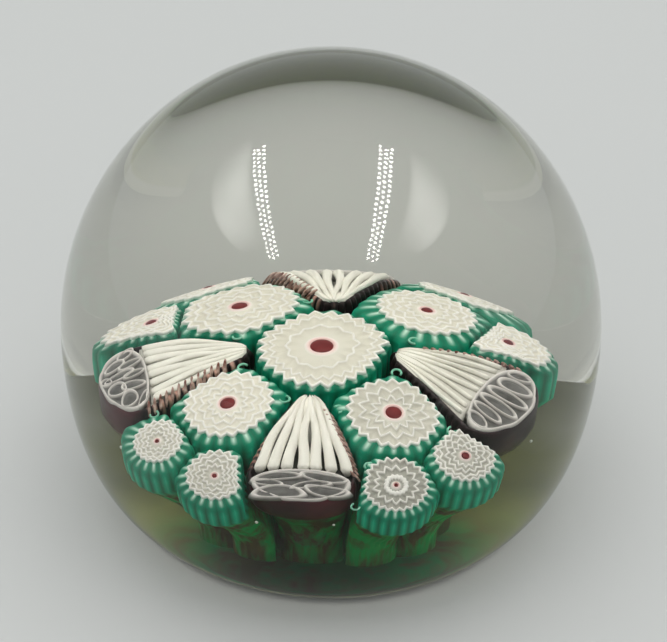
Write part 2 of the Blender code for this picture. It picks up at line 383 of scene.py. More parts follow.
roundCanes = {  # at: bearing and distance; lengths in mm
    "centre_cane": {"at": (-140, 1.0), "cell": 6.6, "disc": 5.6,
        "eye": 0.18, "tone": 0.84, "teeth": 26, "turn": 0.1,
        "lines": ((0.56, 0.035, 13, 0.8), (0.82, 0.050, 26, 0.8))},
    "inner_front_left": {"at": (-142, 12.0), "cell": 6.0, "disc": 4.2,
        "eye": 0.17, "tone": 0.90, "teeth": 22, "turn": 0.4},
    "inner_front_right": {"at": (-57, 10.9), "cell": 5.9, "disc": 4.3,
        "eye": 0.18, "tone": 0.68, "teeth": 22, "turn": 0.2,
        "lines": ((0.43, 0.080, 12, 1.0), (0.69, 0.090, 13, 1.0))},
    "inner_back_right": {"at": (43, 10.6), "cell": 5.9, "disc": 3.95,
        "eye": 0.12, "tone": 0.88, "teeth": 22, "turn": 0.7},
    "inner_back_left": {"at": (135, 10.5), "cell": 6.0, "disc": 4.65,
        "eye": 0.14, "tone": 0.88, "teeth": 22, "turn": 0.5},
    "outer_left_front": {"at": (-150, 19.7), "cell": 4.6, "disc": 2.8,
        "eye": 0.08, "tone": 0.70, "teeth": 20, "turn": 0.3},
    "outer_front_left": {"at": (-126, 20.2), "cell": 4.7, "disc": 3.25,
        "eye": 0.08, "tone": 0.60, "teeth": 20, "turn": 0.0},
    "outer_front_right": {"at": (-69, 19.5), "cell": 4.7, "disc": 3.45,
        "eye": 0.06, "tone": 0.30, "teeth": 24, "turn": 0.6,
        "lines": ((0.31, 0.020, 16, 2.6), (0.64, 0.085, 14, 1.2))},
    "outer_right_front": {"at": (-43, 18.6), "cell": 4.7, "disc": 3.3,
        "eye": 0.13, "tone": 0.44, "teeth": 22, "turn": 0.2,
        "lines": ((0.40, 0.060, 12, 1.0), (0.60, 0.070, 13, 1.0), (0.80, 0.060, 14, 1.0))},
    "outer_right_back": {"at": (21, 15.7), "cell": 4.2, "disc": 3.4,
        "eye": 0.12, "tone": 0.95, "teeth": 20, "turn": 0.8},
    "outer_back_right": {"at": (55, 17.6), "cell": 4.8, "disc": 3.3,
        "eye": 0.12, "tone": 0.90, "teeth": 20, "turn": 0.1},
    "outer_back_left": {"at": (122, 17.6), "cell": 4.8, "disc": 3.2,
        "eye": 0.12, "tone": 0.90, "teeth": 20, "turn": 0.9},
    "outer_left_back": {"at": (148, 16.9), "cell": 4.3, "disc": 3.5,
        "eye": 0.12, "tone": 0.96, "teeth": 20, "turn": 0.5},
}
roundLayers = {
    "points": 12,        # vertices for each tooth of the rim
    "tooth": 0.062,      # half the depth of a rim tooth, over the disc's radius
    # the zigzag lines inside the disc: reach, half depth, teeth, width
    "lines": ((0.40, 0.055, 12, 1.0), (0.60, 0.065, 12, 1.0), (0.79, 0.055, 14, 1.0)),
    "lineHalf": 0.085,
    "lineSlope": 0.075,
    "cellSink": 0.20,    # at the darkest tone
    "halo": 0.07,
    "tube": 0.50,
    "tail": 14.5,        # how far down the casing ends, in mm
    # the casing's rings: share of the way from rim to outline, flute depth, sink
    "casing": ((0.02, 0.0, 0.24), (0.14, 0.04, 0.27), (0.40, 0.07, 0.33), (0.70, 0.09, 0.46),
               (0.89, 0.12, 0.72), (0.98, 0.15, 1.2), (1.0, 0.17, 1.9), (1.0, 0.17, 2.6),
               (0.98, 0.16, 3.1), (0.95, 0.14, 3.5), (0.93, 0.12, 3.9), (0.94, 0.12, 4.8),
               (0.97, 0.16, 6.8), (0.98, 0.16, 9.2), (0.98, 0.14, 11.8), (0.98, 0.10, 14.5)),
}
shellCanes = {  # at: bearing and distance of the pointed end; lengths in mm
    "shell_front": {"at": (-105, 7.3), "opens": -95, "tone": 1.0, "ribSink": 0.9, "ribs": 7, "fill": 0.98,
                    "thin": 0.13, "tube": 0.50, "broad": 1.11, "ribEnd": 9.7},
    "shell_right": {"at": (-4, 5.3), "opens": -17, "tone": 0.24, "ribSink": 0.22, "ribs": 8, "fill": 0.42,
                    "thin": 0.05, "tube": 0.24, "broad": 1.15, "ribEnd": 8.6},
    "shell_back": {"at": (88, 7.0), "opens": 91, "tone": 0.7, "ribSink": 0.6, "ribs": 8, "fill": 0.92,
                   "thin": 0.15, "tube": 0.36, "broad": 1.0, "ribEnd": 9.3},
    "shell_left": {"at": (180, 6.8), "opens": 177, "tone": 0.34, "ribSink": 0.3, "ribs": 8, "fill": 0.90,
                   "thin": 0.06, "tube": 0.26, "broad": 1.07, "ribEnd": 9.2},
}
shell = {
    "length": 14.0,
    "wide": 9.8,         # where it is widest, from the point
    "halfWidth": 5.2,
    "flutes": 46,
    "points": 322,
    "tail": 14.5,
    # the jacket's rings: outward offset, flute depth, sink
    "jacket": ((-0.46, 0.0, 0.32), (-0.34, 0.06, 0.30), (-0.18, 0.14, 0.42), (-0.06, 0.22, 0.66),
               (0.02, 0.28, 1.0), (0.02, 0.24, 1.8), (0.0, 0.14, 2.8), (-0.05, 0.12, 3.4),
               (-0.30, 0.08, 3.9), (-0.50, 0.06, 4.4), (-0.50, 0.06, 5.6), (-0.45, 0.06, 7.4),
               (-0.40, 0.05, 9.6), (-0.35, 0.04, 12.0), (-0.3, 0.02, 14.5)),
}


def polar(bearing, distance):
    angle = math.radians(bearing)
    return Vector((distance * math.cos(angle), distance * math.sin(angle)))


def shellHalf(along):  # half width of a shell cane
    part = along / shell["wide"]
    if part <= 1.0:
        nose = math.sqrt(min(1.0, max(0.0, along) / 0.9))
        return shell["halfWidth"] * (0.16 + 0.84 * part ** 0.92 - 0.05 * part ** 6) / 0.95 * nose
    part = (along - shell["wide"]) / (shell["length"] - shell["wide"])
    return shell["halfWidth"] * math.sqrt(max(0.0, 1.0 - part ** 2.4))


def shellSpot(name, along, side):
    facts = shellCanes[name]
    point = polar(*facts["at"]) + polar(facts["opens"], along)
    return point + polar(facts["opens"] + 90, side * facts["broad"])


def neighbourLimits(name):  # lines that the cane's neighbours keep it behind
    facts = roundCanes[name]
    centre = polar(*facts["at"])
    limits = []
    for other, otherFacts in roundCanes.items():
        away = polar(*otherFacts["at"]) - centre
        gap = away.length
        if other != name and gap < facts["cell"] + otherFacts["cell"] + 0.2:
            share = 0.5 * (gap ** 2 + facts["cell"] ** 2 - otherFacts["cell"] ** 2) / gap
            limits.append((away / gap, share - 0.06))
    for other in shellCanes:
        corners = [shellSpot(other, along, side) for along, side in
                   ((0.0, 0.9), (0.0, -0.9), (9.0, -5.3), (13.0, -5.3), (13.0, 5.3), (9.0, 5.3))]
        best = None
        for start, end in zip(corners, corners[1:] + corners[:1]):
            run = (end - start).normalized()
            outward = Vector((-run.y, run.x)) * -1.0
            room = (centre - start).dot(outward)
            if best is None or room > best[1]:
                best = (outward, room)
        if best[1] < facts["cell"] + 0.3:
            limits.append((-best[0], best[1] - 0.3))
    return centre, limits


def cellReach(facts, limits):
    bearing = math.radians(facts["at"][0])
    outerRow = facts["at"][1] > 15.0

    def reach(angle):
        facing = Vector((math.cos(angle), math.sin(angle)))
        spare = 1.2  # towards its neighbours a cane fills the room they leave
        if outerRow:
            spare = 1.3 * (1.0 - blendTo(-0.1, 0.55, math.cos(angle - bearing)))
        total = (facts["cell"] + spare) ** -12
        for normal, distance in limits:
            toward = facing.dot(normal)
            if toward > 0.02:
                total += (distance / toward) ** -12
        return total ** (-1.0 / 12.0)
    return reach


def roundSpot(centre):
    def spot(angle, reach, sink):
        return spotOn((centre.x + reach * math.cos(angle)) * mm,
                      (centre.y + reach * math.sin(angle)) * mm, sink * mm)
    return spot


caneTones = {  # pairs are the two ends of a cloudy glass
    "starCellDark": ((0.20, 0.205, 0.185), (0.30, 0.305, 0.28)),
    "starCellLight": ((0.80, 0.76, 0.66), (0.88, 0.84, 0.75)),
    "starLine": ((0.90, 0.88, 0.84), (0.96, 0.94, 0.91)),
    "halo": (0.92, 0.66, 0.64),
    "starEdge": (0.50, 0.78, 0.66),
    "ruby": ((0.11, 0.008, 0.010), (0.22, 0.024, 0.026)),
    # flute valleys darkened as painted shade, crests lightened as painted light; the crest line is the glass's
    # mint stripe with a painted highlight
    "fluteValleyShade": ((0.000, 0.115, 0.062), (0.000, 0.21, 0.115)),
    "fluteCrestLit": ((0.000, 0.44, 0.255), (0.000, 0.60, 0.36)),
    "fluteStripeAndHighlight": ((0.00, 0.48, 0.29), (0.09, 0.64, 0.45)),
    "casingTail": ((0.10, 0.078, 0.034), (0.002, 0.44, 0.125)),
    "mintRim": (0.66, 0.86, 0.76),
    "rib": ((0.88, 0.85, 0.78), (0.95, 0.93, 0.87)),
    "ribGapShade": (0.045, 0.045, 0.036),
    "foldGrey": ((0.060, 0.058, 0.055), (0.19, 0.185, 0.18)),
    "foldLine": (0.78, 0.74, 0.72),
    "jacketDark": ((0.004, 0.003, 0.004), (0.022, 0.008, 0.011)),
    "jacketMaroon": ((0.018, 0.008, 0.011), (0.105, 0.018, 0.028)),
    "jacketCopper": ((0.34, 0.13, 0.09), (0.78, 0.50, 0.42)),
    "jacketTail": ((0.075, 0.055, 0.028), (0.002, 0.36, 0.10)),
    "thread": ((0.20, 0.07, 0.05), (0.70, 0.50, 0.44)),
    "curl": ((0.10, 0.46, 0.30), (0.42, 0.76, 0.62)),
    # the bubbles' pale colour is a painted glint
    "airGlint": ((0.62, 0.68, 0.60), (0.90, 0.93, 0.88)),
}


def starMaterial():
    shade = Shade("starGlass")
    white = shade.attribute("white")
    cloud = shade.noise(900.0, 3.0)
    streak = shade.noise(260.0, 2.0)
    dark = shade.mix(cloud, *caneTones["starCellDark"])
    light = shade.mix(streak, *caneTones["starCellLight"])
    cell = shade.mix(shade.attribute("tone"), dark, light)
    line = shade.mix(cloud, *caneTones["starLine"])
    colour = shade.mix(white, cell, line)
    colour = shade.mix(shade.attribute("halo"), colour, caneTones["halo"])
    colour = shade.mix(shade.attribute("mint"), colour, caneTones["starEdge"])
    return shade.finish(Base_Color=colour, Roughness=0.55, Specular_IOR_Level=0.15,
                        Normal=shade.bump(cloud, 0.15, 0.05 * mm))


def eyeMaterial():
    shade = Shade("rubyGlass")
    cloud = shade.noise(1400.0, 3.0)
    colour = shade.mix(cloud, *caneTones["ruby"])
    return shade.finish(Base_Color=colour, Roughness=0.4, Specular_IOR_Level=0.2,
                        Normal=shade.bump(cloud, 0.2, 0.05 * mm))


def casingMaterial():
    shade = Shade("greenCasing")
    ridge = shade.attribute("ridge")
    deep = shade.attribute("deep")
    cloud = shade.noise(500.0, 3.0)
    # painted shade in the flute valleys and painted light on the crests, stronger deeper down
    shadedValley = shade.mix(cloud, *caneTones["fluteValleyShade"])
    litCrest = shade.mix(cloud, *caneTones["fluteCrestLit"])
    line = shade.mix(cloud, *caneTones["fluteStripeAndHighlight"])
    body = shade.mix(ridge.between(0.0, 0.8) * (0.30 + 0.70 * deep.between(0.6, 1.5)), shadedValley, litCrest)
    # the mint line on each crest: the glass's own mint stripe with a painted highlight
    body = shade.mix(ridge.between(0.84, 0.98) * deep.between(0.7, 1.3), body, line)
    streak = shade.noise(420.0, 4.0, 0.62, shade.stretched(1.0, 1.0, 0.22))
    under = shade.mix(streak.between(0.42, 0.56), *caneTones["casingTail"])
    body = shade.mix(deep.between(3.3, 4.0), body, under)
    rim = (1.0 - deep.between(0.25, 0.46)) * ridge.between(0.45, 0.95)
    colour = shade.mix(rim, body, caneTones["mintRim"])
    return shade.finish(Base_Color=colour, Roughness=0.45, Specular_IOR_Level=0.2,
                        Normal=shade.bump(cloud, 0.15, 0.08 * mm))


def ribMaterial():
    shade = Shade("ribGlass")
    ribShade = shade.attribute("ribShade")
    cloud = shade.noise(700.0, 3.0)
    rib = shade.mix(cloud, *caneTones["rib"])
    # painted shade in the gaps between the ribs and under them
    colour = shade.mix(ribShade, rib, caneTones["ribGapShade"])
    return shade.finish(Base_Color=colour, Roughness=0.5, Specular_IOR_Level=0.15,
                        Normal=shade.bump(cloud, 0.12, 0.05 * mm))


def foldMaterial():
    shade = Shade("foldedGlass")
    white = shade.attribute("white")
    cloud = shade.noise(420.0, 4.0, 0.6)
    grey = shade.mix(cloud.between(0.3, 0.7), *caneTones["foldGrey"])
    colour = shade.mix(white, grey, caneTones["foldLine"])
    return shade.finish(Base_Color=colour, Roughness=0.4, Specular_IOR_Level=0.25,
                        Normal=shade.bump(cloud, 0.25, 0.08 * mm))


def jacketMaterial():
    shade = Shade("amethystJacket")
    ridge = shade.attribute("ridge")
    deep = shade.attribute("deep")
    cloud = shade.noise(330.0, 3.0)
    patch = shade.noise(150.0, 2.0).between(0.52, 0.60)
    dark = shade.mix(cloud, *caneTones["jacketDark"])
    maroon = shade.mix(shade.noise(90.0, 3.0).between(0.4, 0.65), *caneTones["jacketMaroon"])
    copper = shade.mix(cloud, *caneTones["jacketCopper"])
    near = 1.0 - deep.between(0.6, 2.0)
    streak = shade.noise(420.0, 4.0, 0.62, shade.stretched(1.0, 1.0, 0.22))
    under = shade.mix(streak.between(0.44, 0.60), *caneTones["jacketTail"])
    base = shade.mix(shade.attribute("wall"), dark, maroon)
    base = shade.mix(ridge.between(0.35, 0.75) * near * patch, base, copper)
    colour = shade.mix(deep.between(3.6, 4.4), base, under)
    return shade.finish(Base_Color=colour, Roughness=0.35, Specular_IOR_Level=0.25,
                        Normal=shade.bump(cloud, 0.15, 0.08 * mm))


def threadMaterial():
    shade = Shade("copperThread")
    cloud = shade.noise(1500.0, 3.0)
    colour = shade.mix(cloud.between(0.35, 0.65), *caneTones["thread"])
    return shade.finish(Base_Color=colour, Roughness=0.4, Specular_IOR_Level=0.2)


def makeRound(name, glasses):  # eye, star and casing of one round cane
    facts = roundCanes[name]
    centre, limits = neighbourLimits(name)
    cell = cellReach(facts, limits)
    spot = roundSpot(centre)
    disc = facts["disc"]
    teeth = facts["teeth"]
    count = teeth * roundLayers["points"]
    eye = facts["eye"] * disc
    sinkCell = roundLayers["cellSink"] * (1.25 - facts["tone"])

    def discReach(angle):
        return min(disc, cell(angle) - 0.45)

    def rim(angle):
        return discReach(angle) * (1.0 + roundLayers["tooth"] * zigzag(teeth, angle, facts["turn"]))

    eyeLoft = Loft(36, (), spot)
    eyeLoft.begin(0.35 * eye, -0.10)
    eyeLoft.cap()
    for share, sink in ((0.7, -0.07), (0.95, 0.0), (1.0, 0.08), (1.0, 1.2)):
        eyeLoft.go(share * eye, sink)
    eyeLoft.cap()
    place(eyeLoft.keep(name + "_red_eye", glasses["ruby"]), "ruby_cane_glass", name + "_eye")

    # raised white lines over sunk cells
    star = Loft(count, ("white", "tone", "halo", "mint"), spot)
    tone = facts["tone"]
    halo = roundLayers["halo"] * disc
    common = {"tone": tone, "mint": 0.0}
    star.begin(0.96 * eye, 0.10, white=1.0, halo=1.0, **common)
    star.go(eye + 0.10, -0.04, white=1.0, halo=1.0, **common)
    star.go(eye + 0.6 * halo, -0.04, white=1.0, halo=0.6, **common)
    star.go(eye + halo, 0.03, white=0.8, halo=0.2, **common)
    star.go(eye + halo + 0.15, sinkCell, white=0.15, halo=0.0, **common)
    half = roundLayers["lineHalf"]
    slope = roundLayers["lineSlope"]
    for reach, depth, lineTeeth, thick in facts.get("lines", roundLayers["lines"]):
        def line(angle, extra=0.0, reach=reach, depth=depth, lineTeeth=lineTeeth):
            wave = zigzag(lineTeeth, angle, facts["turn"] + reach)
            return discReach(angle) * (reach + depth * wave) + extra

        wide = half * thick
        for extra, sink, white in ((-wide - slope, sinkCell, 0.0), (-wide, -0.03, 1.0),
                                   (wide, -0.03, 1.0), (wide + slope, sinkCell, 0.0)):
            star.go(lambda angle, extra=extra: line(angle, extra), sink, white=white, halo=0.0, **common)
    star.go(lambda angle: rim(angle) - 0.36, sinkCell, white=0.0, halo=0.0, **common)
    star.go(lambda angle: rim(angle) - 0.27, -0.04, white=1.0, halo=0.0, **common)
    star.go(lambda angle: rim(angle) - 0.06, 0.0, white=1.0, halo=0.0, **common)
    star.go(rim, 0.12, white=1.0, halo=0.0, tone=tone, mint=0.5)
    star.go(lambda angle: rim(angle) + 0.02, 0.5, white=1.0, halo=0.0, tone=tone, mint=1.0)
    star.go(lambda angle: rim(angle) - 0.2, 1.6, white=1.0, halo=0.0, tone=tone, mint=1.0)
    star.go(0.96 * eye, 1.6, white=1.0, halo=1.0, **common)
    star.shut()
    place(star.keep(name + "_white_star", glasses["star"]), "white_cane_glass", name + "_star")

    # fluted, and drawn in to its tail
    casing = Loft(count, ("ridge", "deep"), spot)

    def ridge(angle):
        return 0.5 + 0.5 * zigzag(teeth, angle, facts["turn"])

    def wall(share, depth):
        def reach(angle):
            base = rim(angle) * (1.0 - share) + cell(angle) * share
            return base + depth * (ridge(angle) - 0.5)
        return reach

    casing.begin(lambda angle: rim(angle) - 0.10, 0.34, ridge=ridge, deep=0.2)
    for share, depth, sink in roundLayers["casing"]:
        casing.go(wall(share, depth), sink, ridge=ridge, deep=sink)
    casing.go(roundLayers["tube"] * disc, roundLayers["tail"], ridge=0.0, deep=roundLayers["tail"])
    casing.go(roundLayers["tube"] * disc, 1.9, ridge=0.0, deep=1.9)
    casing.go(lambda angle: rim(angle) - 0.3, 1.75, ridge=0.0, deep=1.75)
    casing.shut()
    place(casing.keep(name + "_green_casing", glasses["casing"]), "green_cane_glass", name + "_casing")


def shellEdge():  # the outline by angle, with its normals and the share of the way round
    count = shell["points"]
    spots = []
    for index in range(count):
        angle = math.tau * index / count
        along = 0.5 * shell["length"] * (1.0 + math.cos(angle))
        side = shellHalf(along)
        spots.append(Vector((along, side if angle < math.pi else -side)))
    normals = []
    walked = [0.0]
    for index in range(count):
        run = spots[(index + 1) % count] - spots[index - 1]
        normals.append(Vector((run.y, -run.x)).normalized())
        walked.append(walked[-1] + (spots[(index + 1) % count] - spots[index]).length)
    shares = [way / walked[-1] for way in walked[:-1]]
    return spots, normals, shares


def shellRingSpot(name, edge):
    spots, normals = edge[:2]
    centre = Vector((8.4, 0.0))

    def spot(angle, grow, sink):
        index = round(angle / math.tau * shell["points"]) % shell["points"]
        if isinstance(grow, tuple):  # (share towards the middle, outward offset)
            along, side = centre.lerp(spots[index], grow[0]) + normals[index] * grow[1]
        else:
            along, side = spots[index] + normals[index] * grow
        flat = shellSpot(name, along, side)
        return spotOn(flat.x * mm, flat.y * mm, sink * mm)
    return spot


def makeJacket(name, glass, edge):
    jacket = Loft(shell["points"], ("ridge", "deep", "wall"), shellRingSpot(name, edge))
    spots, shares = edge[0], edge[2]

    def ridge(angle):  # the flutes die out round the broad end
        index = round(angle / math.tau * shell["points"]) % shell["points"]
        flank = 1.0 - blendTo(9.5, 11.5, spots[index].x)
        return flank * (0.5 + 0.5 * zigzag(shell["flutes"], math.tau * shares[index]))

    def wallEnd(angle):
        index = round(angle / math.tau * shell["points"]) % shell["points"]
        return blendTo(10.0, 12.0, spots[index].x)

    def grow(offset, depth):
        return lambda angle: offset + depth * (ridge(angle) - 0.5)

    jacket.begin(-0.52, 0.5, ridge=ridge, deep=0.5, wall=wallEnd)
    for offset, depth, sink in shell["jacket"]:
        jacket.go(grow(offset, depth), sink, ridge=ridge, deep=sink, wall=wallEnd)
    jacket.go((0.5, 0.0), shell["tail"], ridge=0.0, deep=shell["tail"])
    jacket.go((0.5, 0.0), 2.2, ridge=0.0, deep=2.2)
    jacket.go(-0.75, 2.0, ridge=0.0, deep=2.0)
    jacket.shut()
    place(jacket.keep(name + "_dark_jacket", glass), "amethyst_cane_glass", name + "_jacket")


ribShape = {  # lengths in mm
    "steps": 26,
    "around": 12,
    "start": 0.45,
    "floorThick": 1.4,
    "wobble": 0.14,
    "inset": 0.34,
}


def makeRibs(name, glass):
    facts = shellCanes[name]
    ribs = facts["ribs"]
    steps = ribShape["steps"]
    bm = bmesh.new()
    ribShade = bm.verts.layers.float.new("ribShade")

    def ribSpot(along, side, sink):
        flat = shellSpot(name, along, side)
        return spotOn(flat.x * mm, flat.y * mm, sink * mm)

    # the floor between the ribs: painted shade, dark where the ribs stand apart
    columns = 2 * ribs
    made = bmesh.ops.create_grid(bm, x_segments=columns, y_segments=steps, size=1.0)["verts"]
    for vert in made:
        column = round((vert.co.x + 1.0) * 0.5 * columns)
        step = round((vert.co.y + 1.0) * 0.5 * steps)
        along = 0.5 + (facts["ribEnd"] - 0.3) * step / steps
        side = (shellHalf(along) - 0.42) * (2.0 * column / columns - 1.0)
        # painted shade deepens along the cane, scaled by the shell's tone
        vert[ribShade] = blendTo(2.5, 7.0, along) * facts["tone"]
        vert.co = ribSpot(along, side, 0.22 + facts["ribSink"] * blendTo(1.0, 6.0, along))
    faces = list({face for vert in made for face in vert.link_faces})
    down = bmesh.ops.extrude_face_region(bm, geom=faces)["geom"]
    for vert in [item for item in down if isinstance(item, bmesh.types.BMVert)]:
        vert.co = vert.co - Vector((0.0, 0.0, ribShape["floorThick"] * mm))

    for rib in range(ribs):
        spread = (2.0 * rib + 1.0) / ribs - 1.0
        wobble = ribShape["wobble"] * math.sin(2.3 * rib + 1.0)
        ring = bmesh.ops.create_circle(bm, segments=ribShape["around"], radius=1.0)["verts"]
        edges = list({edge for vert in ring for edge in vert.link_edges})
        turns = {vert: index for index, vert in enumerate(ring)}
        bmesh.ops.contextual_create(bm, geom=edges)
        for step in range(steps + 1):
            along = ribShape["start"] + (facts["ribEnd"] - ribShape["start"]) * step / steps
            room = shellHalf(along) - ribShape["inset"]
            middle = room * spread * (1.0 - 0.15 / ribs) + wobble * math.sin(0.9 * along)
            half = room / ribs * (facts["fill"] - facts["thin"] * blendTo(3.0, 8.0, along))
            if step in (0, steps):
                half *= 0.6
            tall = facts["tube"] * (0.55 + 0.45 * blendTo(1.0, 7.0, along))
            if step > 0:
                out = bmesh.ops.extrude_edge_only(bm, edges=edges)["geom"]
                fresh = [item for item in out if isinstance(item, bmesh.types.BMVert)]
                turns = {vert: turns[edge.other_vert(vert)] for vert in fresh
                         for edge in vert.link_edges if edge.other_vert(vert) in turns}
                edges = [item for item in out if isinstance(item, bmesh.types.BMEdge)
                         and item.verts[0] in turns and item.verts[1] in turns]
            for vert, index in turns.items():
                angle = math.tau * index / ribShape["around"]
                lift = tall * math.sin(angle)
                # painted shade on the lower side of each rib
                vert[ribShade] = 0.0 if lift > -0.1 * tall else 0.3
                vert.co = ribSpot(along, middle + half * math.cos(angle), 0.26 - lift)
        bmesh.ops.contextual_create(bm, geom=edges)
    place(keepMesh(bm, name + "_white_ribs", glass), "white_cane_glass", name + "_ribs")


# each fold's middle and half sizes, along and to the side in mm, its turn in degrees and its bow
shellFolds = {
    "shell_front": (((10.1, -2.3), (0.50, 2.3), -6, 0.15), ((10.2, 2.1), (0.55, 2.2), 8, -0.25),
                    ((11.0, -3.2), (0.42, 1.5), 12, 0.0), ((11.2, 0.9), (0.42, 1.9), -14, 0.2),
                    ((12.4, -2.1), (0.95, 2.5), 0, 0.35), ((12.2, 2.5), (0.75, 2.1), 6, -0.35)),
    "shell_right": (((10.6, -3.7), (1.1, 0.55), 20, 0.0), ((10.9, -2.3), (1.5, 0.50), 10, 0.1),
                    ((11.3, -0.9), (1.9, 0.55), 4, 0.1), ((11.4, 0.6), (1.9, 0.60), -4, -0.1),
                    ((11.2, 2.2), (1.5, 0.75), -12, -0.2), ((10.8, 3.7), (1.0, 0.50), -24, 0.0)),
    "shell_back": (((10.4, -2.2), (0.55, 2.2), -6, 0.15), ((10.5, 2.1), (0.55, 2.2), 8, -0.25),
                   ((12.2, 0.0), (0.95, 3.0), 0, 0.35)),
    "shell_left": (((9.9, 3.7), (0.40, 1.1), 30, 0.1), ((11.3, 3.0), (0.85, 1.1), 24, 0.2),
                   ((10.6, 1.3), (1.2, 0.55), 12, 0.3), ((12.3, 1.1), (0.95, 0.9), -10, -0.2),
                   ((10.3, -0.3), (1.0, 0.42), -6, 0.2), ((11.7, -0.7), (1.5, 0.50), -10, -0.3),
                   ((13.0, -0.6), (0.5, 0.6), -20, 0.0), ((10.4, -2.0), (1.1, 0.46), -12, 0.25),
                   ((11.8, -2.5), (1.1, 0.55), -30, -0.2), ((10.5, -3.8), (0.9, 0.50), -40, 0.1)),
}


foldRings = {  # reach, sink, white
    "bed": ((0.7, 0.30, 0.0), (0.9, 0.24, 0.1), (0.97, 0.02, 1.0), (1.02, 0.06, 1.0),
            (1.04, 0.5, 0.4), (1.0, 1.8, 0.0)),
    "cell": ((1.12, 0.22, 0.3), (1.05, -0.02, 1.0), (0.97, -0.06, 1.0), (0.88, 0.06, 0.7),
             (0.80, 0.16, 0.05), (0.60, 0.10, 0.0), (0.40, 0.02, 0.0), (0.18, -0.02, 0.0)),
}


def makeFolds(name, glass):
    start = shellCanes[name]["ribEnd"] + 0.1

    def foldSpot(along, side, sink):  # the folds take up the room beyond the ribs
        along = start + (along - 9.1) * (13.6 - start) / (13.6 - 9.1)
        flat = shellSpot(name, along, side)
        return spotOn(flat.x * mm, flat.y * mm, sink * mm)

    def bedSpot(angle, reach, sink):
        cosine, sine = math.cos(angle), math.sin(angle)
        along = 11.35 + 2.25 * reach * math.copysign(abs(cosine) ** 0.75, cosine)
        side = (shellHalf(min(along, 12.9)) - 0.55) * reach * math.copysign(abs(sine) ** 0.75, sine)
        return foldSpot(along, side, sink)

    bed = Loft(96, ("white",), bedSpot)
    bed.begin(0.3, 0.30, white=0.0)
    bed.cap()
    for reach, sink, white in foldRings["bed"]:
        bed.go(reach, sink, white=white)
    bed.cap()
    for (along, side), (halfAlong, halfSide), turn, bow in shellFolds[name]:
        lean = math.radians(turn)

        def cellSpot(angle, reach, sink, along=along, side=side, halfAlong=halfAlong, halfSide=halfSide,
                     lean=lean, bow=bow):
            x = halfSide * reach * math.cos(angle)
            y = halfAlong * reach * math.sin(angle) + bow * math.cos(angle) ** 2 * reach
            return foldSpot(along + y * math.cos(lean) + x * math.sin(lean),
                            side + x * math.cos(lean) - y * math.sin(lean), sink)

        cell = Loft(48, ("white",), cellSpot, bed.bm)
        cell.begin(1.20, 0.50, white=0.0)
        first = cell.edges
        for reach, sink, white in foldRings["cell"]:
            cell.go(reach, sink, white=white)
        cell.cap()
        cell.cap(first)
    place(bed.keep(name + "_folded_rim", glass), "grey_cane_glass", name + "_folds")


threadShape = {"bars": 13, "from": 2.4, "over": 7.4, "inset": 0.30}  # lengths in mm


def makeThread(name, glass):  # short bars laid side by side along one flank
    bm = bmesh.new()
    for bar in range(threadShape["bars"]):
        along = threadShape["from"] + threadShape["over"] * bar / (threadShape["bars"] - 1)
        side = shellHalf(along) - threadShape["inset"]
        for vert in bmesh.ops.create_icosphere(bm, subdivisions=2, radius=1.0)["verts"]:
            x, y, z = vert.co
            flat = shellSpot(name, along + 0.17 * x + 0.12 * y, side + 0.55 * y)
            vert.co = spotOn(flat.x * mm, flat.y * mm, (0.42 + 0.5 * y - 0.26 * z) * mm)
    place(keepMesh(bm, name + "_copper_thread", glass), "copper_thread_glass", name + "_thread")


# small mint curls and trapped air in the corners between canes: the shell, and how far along
# and to the side of it, in mm
curls = (("shell_front", 1.6, 2.6), ("shell_front", 8.3, 6.0), ("shell_front", 8.0, -6.1),
         ("shell_front", 13.7, 5.4), ("shell_front", 0.6, -2.0), ("shell_right", 1.4, -2.3),
         ("shell_right", 1.0, 2.4), ("shell_right", 8.8, -6.0), ("shell_left", 0.8, 2.2),
         ("shell_left", 1.2, -2.4), ("shell_left", 9.4, 5.8), ("shell_back", 1.0, 2.2))
bubbles = (("shell_front", 14.3, -4.6), ("shell_front", 14.4, 3.4), ("shell_front", 14.0, 6.4),
           ("shell_front", 13.6, 10.6), ("shell_front", 13.2, -9.6), ("shell_right", 13.6, -5.2),
           ("shell_right", 14.4, 1.6), ("shell_left", 13.8, 4.8), ("shell_left", 13.2, -5.6))


def curlMaterial():
    shade = Shade("mintGlass")
    cloud = shade.noise(900.0, 2.0)
    colour = shade.mix(cloud, *caneTones["curl"])
    return shade.finish(Base_Color=colour, Roughness=0.4, Specular_IOR_Level=0.2)


curlShape = {"bend": 0.42, "half": 0.10, "sweep": 4.3, "deep": 0.42}  # lengths in mm, the sweep in radians


def makeCurls(glass):
    bm = bmesh.new()
    for index, (name, along, side) in enumerate(curls):
        older = set(bm.verts)
        made = bmesh.ops.create_circle(bm, segments=8, radius=curlShape["half"])["verts"]
        for vert in made:
            vert.co = Vector((curlShape["bend"] + vert.co.x, 0.0, vert.co.y))
        edges = list({link for vert in made for link in vert.link_edges})
        turned = Matrix.Rotation(math.radians(70 * index), 3, "Z")
        bmesh.ops.rotate(bm, verts=made, cent=(0, 0, 0), matrix=turned)
        bmesh.ops.contextual_create(bm, geom=edges)
        spun = bmesh.ops.spin(bm, geom=made + edges, cent=(0, 0, 0), axis=(0, 0, 1),
                              angle=curlShape["sweep"], steps=16)
        ends = [item for item in spun["geom_last"] if isinstance(item, bmesh.types.BMEdge)]
        bmesh.ops.contextual_create(bm, geom=ends)
        for vert in [vert for vert in bm.verts if vert not in older]:
            x, y, z = vert.co
            flat = shellSpot(name, along + x, side + y)
            vert.co = spotOn(flat.x * mm, flat.y * mm, (curlShape["deep"] - z) * mm)
    place(keepMesh(bm, "corner_curls", glass), "green_cane_glass")


